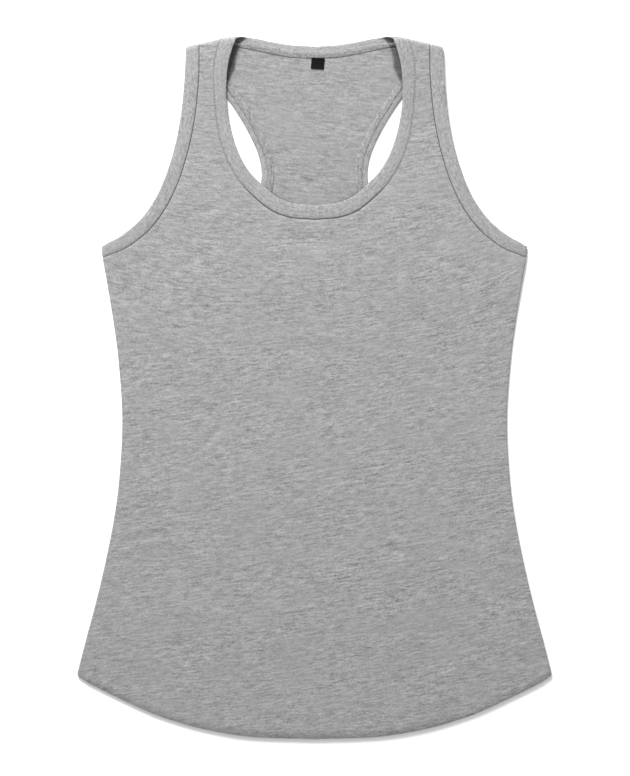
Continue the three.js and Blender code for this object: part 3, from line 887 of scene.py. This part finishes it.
def ramp(n, value, low, high):
    """0 below low, 1 above high, smooth between; with low above high it falls instead."""
    inputs = {0: value, 1: low, 2: high, 3: 0.0, 4: 1.0}
    return n.node("MapRange", inputs, interpolation_type="SMOOTHSTEP").outputs[0]


def product(n, factors):
    total = factors[0]
    for factor in factors[1:]:
        total = n.math("MULTIPLY", total, factor)
    return total


def shade(n, colour, shoulder, neck):
    """Less light on the cloth that the shoulder fold and the front neck band shelter."""
    place = n.node("SeparateXYZ", {0: n.node("TexCoord").outputs["Object"]})
    half = n.math("MULTIPLY", n.math("ABSOLUTE", place.outputs[0]), 1000.0)
    height = n.math("SUBTRACT", n.math("MULTIPLY", place.outputs[1], 1000.0), HEM_AT)
    deep = ramp(n, n.math("MULTIPLY", place.outputs[2], 1000.0), 5.6, 4.9)
    out = n.math("SUBTRACT", half, table_curve(n, height, SHADE_EDGE, 40, 120))
    sheltered = product(n, [ramp(n, out, -1.6, 2.0), ramp(n, height, 622.0, 640.0), deep])
    keep = n.math("MULTIPLY_ADD", sheltered, -shoulder, 1.0)
    over = n.math("SUBTRACT", height, table_curve(n, half, UNDER_NECK, 520, 620))
    under = product(n, [ramp(n, over, 1.9, 0.2), ramp(n, half, 20.0, 42.0), ramp(n, half, 66.0, 56.0)])
    keep = n.math("MULTIPLY", keep, n.math("MULTIPLY_ADD", under, -neck, 1.0))
    darker = n.node("VectorMath", {0: colour, 3: keep}, operation="SCALE").outputs[0]
    n.surface({"Base Color": darker})


front_nodes, _ = heather("heather_jersey_front", GREY, 0.47, PANEL_STREAKS)
back_nodes, back_colour = heather("heather_jersey_back", SHADED_INSIDE_GREY, 0.43, INSIDE_STREAKS)
neck_nodes, neck_colour = heather("heather_band_neck", BAND_GREY, 0.46, BAND_STREAKS)
arm_nodes, _ = heather("heather_band_arm", BAND_GREY, 0.46, BAND_STREAKS)
allowance_nodes, allowance_colour = heather("heather_allowance", ALLOWANCE_GREY, 0.75, BAND_STREAKS)
shade(back_nodes, back_colour, SHOULDER_SHADE, NECK_SHADE)
shade(allowance_nodes, allowance_colour, SHOULDER_SHADE, NECK_SHADE)
shade(neck_nodes, neck_colour, SHOULDER_SHADE, 0.0)
stitch_thread = stitch_material()


def seam_material():
    """Thread in the ditch of a seam: painted dark as shade where the seam lies in shade, as grey as the
    cloth elsewhere.
    """
    n = Nodes("seam_thread")
    own = n.own_cloth()
    split = n.node("SeparateXYZ", {0: own})
    grain = n.noise(own, (1.8, 1.8, 50), detail=1.0)
    # Painted shade: the third cloth coordinate takes the thread from the seam grey to the dark shade grey
    tone = n.math("MULTIPLY_ADD", split.outputs[2], SEAM_SHADE_GREY - SEAM_GREY, SEAM_GREY)
    tone = n.math("MULTIPLY", tone, n.math("MULTIPLY_ADD", grain, 0.35, 1.0))
    n.surface({"Base Color": n.grey(tone), "Roughness": 0.95, "Specular IOR Level": 0.1})
    n.bump(0.3, 0.0003, grain)
    return n.material


seam_thread = seam_material()


# Pieces
def finish_piece(piece, node):
    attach(piece, "root")
    if node:
        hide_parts(node)
    return piece


def both_halves(half):
    return [(half(1), False), (half(-1), True)]


def panel(name, half, own, material):
    return shell(name, both_halves(half), JERSEY, EDGE_NOSE, own, material)


# Where each piece starts in the cloth's own coordinates, so that no two have the same streaks
CLOTH_START = {
    "front": 0, "back": 2300, "neck": 5000, "left": 7000, "right": 9000,
    "back_neck": 11000, "racerback": 12000,
}
front = panel("front_jersey", front_half, panel_cloth(FRONT, CLOTH_START["front"]), front_nodes.material)
back = panel("back_jersey", back_half, panel_cloth(BACK, CLOTH_START["back"]), back_nodes.material)
finish_piece(front, "front_panel")
finish_piece(back, "back_panel")

neck_form = Band(neck_ring())
arm_forms = {"left": Band(armhole_ring(1)), "right": Band(armhole_ring(-1))}
neck = neck_form.solid("neck_binding", neck_nodes.material, "neck", CLOTH_START["neck"])
finish_piece(neck, "neck_band")
for side, form in arm_forms.items():
    made = form.solid("armhole_binding_" + side, arm_nodes.material, "arm", CLOTH_START[side])
    finish_piece(made, "armhole_band_" + side)


def seam_line(name, form, seam_in_shade):
    """The thread in the ditch all along the outside of a band: where the seam lies in shade it is thin and
    deep, and painted dark as shade.
    """
    seam = form.grid[:, 0]
    dark = seam_in_shade(seam)
    radius = lerp(0.44, 0.25, dark)
    depth = lerp(0.44, 0.36, dark)
    path = seam - form.across[:, 0] * 0.28 + form.normals[:, 0] * (BAND / 2 - depth)[:, None]
    path[:, 2] = np.maximum(path[:, 2], radius)
    return finish_piece(tube(name, path, radius, seam_thread, closed=True, third=dark), None)


# How much painted shade the armhole seam thread takes, 0 to 1: on the front, fuller up from the armpit
def armhole_seam_in_shade(p):
    on_front = smoothstep(p[:, 2], 2.4, 3.2)
    return on_front * lerp(0.45, 1.0, smoothstep(p[:, 1], 476, 520))


# How much painted shade the neck seam thread takes, 0 to 1: on the front, low in the scoop
def neck_seam_in_shade(p):
    in_front = smoothstep(p[:, 2], 2.4, 3.2) * (1 - smoothstep(np.abs(p[:, 0]), 58, 80))
    return in_front * (1 - smoothstep(p[:, 1], 535, 565))


for side, form in arm_forms.items():
    seam_line("armhole_seam_" + side, form, armhole_seam_in_shade)
seam_line("neck_seam", neck_form, neck_seam_in_shade)


def on_band(form, along):
    """Place, direction across and outward normal on the seam of a band, at lengths along it."""
    along = np.mod(along, form.length)
    place = np.interp(along, np.r_[form.along, form.length], np.arange(len(form.along) + 1))
    low = np.floor(place).astype(int) % len(form.along)
    high = (low + 1) % len(form.along)
    part = (place - np.floor(place))[:, None]
    return [lerp(values[low, 0], values[high, 0], part) for values in (form.grid, form.across, form.normals)]


def shown_runs(shown):
    """Unbroken runs of the places that are to be built, joined over the start of the ring."""
    order = np.flatnonzero(shown)
    runs = np.split(order, np.flatnonzero(np.diff(order) > 1) + 1)
    if len(runs) > 1 and runs[0][0] == 0 and runs[-1][-1] == len(shown) - 1:
        runs = [np.r_[runs[-1], runs[0]]] + runs[1:-1]
    return [run for run in runs if len(run) > 8]


# The overlocked edge inside a band: how far in from the seam, height over the band's middle
ALLOWANCE = [
    (-1.4, 0.42), (-1.2, 0.72), (-0.6, 0.98), (0.2, 1.12), (1.4, 1.34), (2.8, 1.46), (4.2, 1.46),
    (5.2, 1.34),
    (5.8, 1.12), (5.9, 0.88), (5.4, 0.80), (3.0, 0.80), (0.6, 0.60), (-0.8, 0.34),
]


def allowance(name, form, keep, start):
    step = 0.9
    along = np.arange(round(form.length / step)) * step
    seam, across, outward = on_band(form, along)
    for run in shown_runs(keep(seam)):
        at = along[run]
        sway = np.sin(at / 5.3) * 0.22 + np.sin(at / 2.1) * 0.12
        puff = 0.10 * pucker(at, "neck")
        fade = np.minimum(smoothstep(np.arange(len(run)), 0, 7), smoothstep(np.arange(len(run))[::-1], 0, 7))
        rows = []
        for out, rise in ALLOWANCE:
            reach = out + (sway if out > 4 else 0)
            lift = 0.30 + (rise - 0.30 + (puff if rise > 0.9 else 0)) * fade
            reach = np.broadcast_to(reach, at.shape)
            rows.append(seam[run] + across[run] * reach[:, None] - outward[run] * lift[:, None])
        section = np.stack(rows, 1)
        count, points = section.shape[:2]
        ids = np.arange(count * points).reshape(count, points)
        faces = np.vstack([wall_cells(ids), end_cells(ids)])
        vertices = section.reshape(-1, 3)
        if signed_volume(vertices, faces) < 0:
            faces = faces[:, ::-1]
        u = np.repeat(at + start, points)
        v = np.tile([out for out, _ in ALLOWANCE], count)
        own = np.stack([u, v, 0 * u], -1)[faces.ravel()]
        piece = mesh_piece(name, vertices, faces, own, allowance_nodes.material)
        finish_piece(piece, None)


def overlock(name, form, keep):
    """Loops of thread round the raw edge, with a needle line along the seam."""
    pitch = 2.3
    count = round(form.length / pitch) * 4
    along = np.arange(count) / count * form.length
    seam, across, outward = on_band(form, along)
    # One loop: needle line, out over the face, round the raw edge, and back
    turn = np.arange(count) % 4
    out = np.array([1.0, 3.4, 5.7, 3.2])[turn] + 0.18 * np.sin(along * 1.9) + 0.14 * np.sin(along * 0.73)
    rise = np.array([1.36, 1.62, 1.46, 1.60])[turn] + 0.10 * pucker(along, "neck")
    path = seam + across * out[:, None] - outward * rise[:, None]
    for k, run in enumerate(shown_runs(keep(seam))):
        finish_piece(tube(f"{name}_{k}", path[run], 0.20, stitch_thread), None)


def dashes(name, form, keep, pitch, long, radius, off, rise, material):
    """Single stitches along a seam, each a short rounded bit of thread that dips at its ends."""
    count = round(form.length / pitch)
    middle = np.arange(count) / count * form.length
    parts = np.linspace(-0.5, 0.5, 5)
    seam, _, _ = on_band(form, middle)
    shown = np.flatnonzero(keep(seam))
    drift = 1 + 0.18 * np.sin(middle * 2.3)
    vertices, faces = [], []
    for k in shown:
        at = middle[k] + parts * long * drift[k]
        place, across, outward = on_band(form, at)
        arch = rise - 0.22 * (2 * parts) ** 2
        path = place + across * off + outward * (BAND / 2 + arch)[:, None]
        bit, cells = tube_mesh(path, np.full(len(path), radius))
        faces.append(cells + sum(len(done) for done in vertices))
        vertices.append(bit)
    vertices, faces = np.vstack(vertices), np.vstack(faces)
    finish_piece(mesh_piece(name, vertices, faces, vertices[faces.ravel()], material), None)


def back_neck(p):
    return (p[:, 2] < 3.2) & (p[:, 1] > 640)


def racerback(p):
    return (p[:, 2] < 2) & (np.abs(p[:, 0]) < 104) & (p[:, 1] > 486)


def neck_on_straps(p):
    return (p[:, 2] > 3.5) & (p[:, 1] > 552)


allowance("back_neck_allowance", neck_form, back_neck, CLOTH_START["back_neck"])
overlock("back_neck_overlock", neck_form, back_neck)
dashes("strap_neck_stitches", neck_form, neck_on_straps, 2.9, 1.4, 0.24, -0.25, 0.08, stitch_thread)
for side, form in arm_forms.items():
    allowance("armhole_allowance_" + side, form, racerback, CLOTH_START["racerback"])
    overlock("armhole_overlock_" + side, form, racerback)


# Label: a strip of dark tape folded in two, its cut ends caught in the neck seam, its place left bare
TAPE = 0.34
TAPE_NOSE = 0.05
TAPE_ROWS = 22


def label_strip():
    across = np.linspace(-LABEL["width"] / 2, LABEL["width"] / 2, 27)
    fold = TAPE / 2 + 0.08
    reach = LABEL["height"] / 2
    flat = np.linspace(reach, -reach + fold, TAPE_ROWS)
    turn = np.linspace(math.pi / 2, 3 * math.pi / 2, 9)[1:-1]
    down = np.r_[flat, -reach + fold + fold * np.cos(turn), flat[::-1]]
    rise = np.r_[np.full(TAPE_ROWS, fold), fold * np.sin(turn), np.full(TAPE_ROWS, -fold)]
    over = down / (2 * reach) + 0.5
    # It was pressed flat, and its free corners have lifted a little
    lift = JERSEY + TAPE + 0.25 + 0.55 * smoothstep(over, 0.75, 1.0)
    x, y = np.meshgrid(across, down)
    held = (1 - over)[:, None]
    z = (rise + lift)[:, None] + 0.10 * np.cos(x / 3.1 + 0.6) + 0.16 * (x / LABEL["width"]) ** 2 * held
    z += 0.12 * held**2
    cosine, sine = math.cos(LABEL["turn"]), math.sin(LABEL["turn"])
    grid = np.stack([LABEL["x"] + x * cosine - y * sine, LABEL["y"] + x * sine + y * cosine, z], -1)

    def cloth(points, inner):
        off_x, off_y = points[:, 0] - LABEL["x"], points[:, 1] - LABEL["y"]
        return np.stack([off_x * cosine + off_y * sine, off_y * cosine - off_x * sine, inner], -1)

    return grid, cloth


def tape_material():
    """Close ribbed weave of black yarn, a little glossy where the yarns turn over."""
    n = Nodes("label_tape")
    own = n.own_cloth()
    split = n.node("SeparateXYZ", {0: own})
    warp = n.math("SINE", n.math("MULTIPLY", split.outputs[0], 2 * math.pi / 0.34))
    weft = n.math("SINE", n.math("MULTIPLY", split.outputs[1], 2 * math.pi / 0.42))
    weave = n.math("MULTIPLY", warp, weft)
    slub = n.noise(own, (2.6, 0.5, 5), detail=1.0)
    tone = n.math("MULTIPLY_ADD", weave, 0.0015, 0.0045)
    tone = n.math("MULTIPLY_ADD", slub, 0.0015, tone)
    n.surface({"Base Color": n.grey(tone), "Roughness": 0.6, "Specular IOR Level": 0.07})
    n.bump(0.3, 0.0002, n.total([(weave, 0.5), (slub, 0.3)]))
    return n.material


strip, strip_cloth = label_strip()
label = shell("label_strip", [(strip, True)], TAPE, TAPE_NOSE, strip_cloth, tape_material())
finish_piece(label, "label")


# Floor, light and camera
FLOOR = {"half": 4.0, "height": -0.0001, "grey": 0.93}
KEY_LIGHT = {"place": (-0.6, 2.0, 1.35), "size": 1.0, "watts": 96}
WORLD_STRENGTH = 0.70
CAMERA_AT = (0.00049, -0.00025, 2.8605)
LENS = 135
SENSOR = 36


def stage_floor():
    half, height, grey = FLOOR["half"], FLOOR["height"], FLOOR["grey"]
    mesh = bpy.data.meshes.new("floor")
    corners = [(-half, -half), (half, -half), (half, half), (-half, half)]
    mesh.from_pydata([(x, y, height) for x, y in corners], [], [(0, 1, 2, 3)])
    n = Nodes("floor")
    n.surface({"Base Color": (grey, grey, grey, 1), "Roughness": 1.0, "Specular IOR Level": 0.0})
    mesh.materials.append(n.material)
    floor = bpy.data.objects.new("floor", mesh)
    bpy.context.scene.collection.objects.link(floor)


def soft_light(name, place, size, watts, aim=(0, 0, 0)):
    light = bpy.data.lights.new(name, "AREA")
    light.shape = "DISK"
    light.size = size
    light.energy = watts
    lamp = bpy.data.objects.new(name, light)
    lamp.location = place
    lamp.rotation_euler = (Vector(aim) - Vector(place)).to_track_quat("-Z", "Y").to_euler()
    bpy.context.scene.collection.objects.link(lamp)


stage_floor()
soft_light("key", **KEY_LIGHT)
world = bpy.data.worlds.new("studio")
world.use_nodes = True
world.node_tree.nodes["Background"].inputs["Color"].default_value = (1, 1, 1, 1)
world.node_tree.nodes["Background"].inputs["Strength"].default_value = WORLD_STRENGTH
bpy.context.scene.world = world
bpy.context.scene.view_settings.view_transform = "Standard"

camera_data = bpy.data.cameras.new("camera")
camera_data.lens = LENS
camera_data.sensor_width = SENSOR
camera = bpy.data.objects.new("camera", camera_data)
camera.location = CAMERA_AT
bpy.context.scene.collection.objects.link(camera)
bpy.context.scene.camera = camera
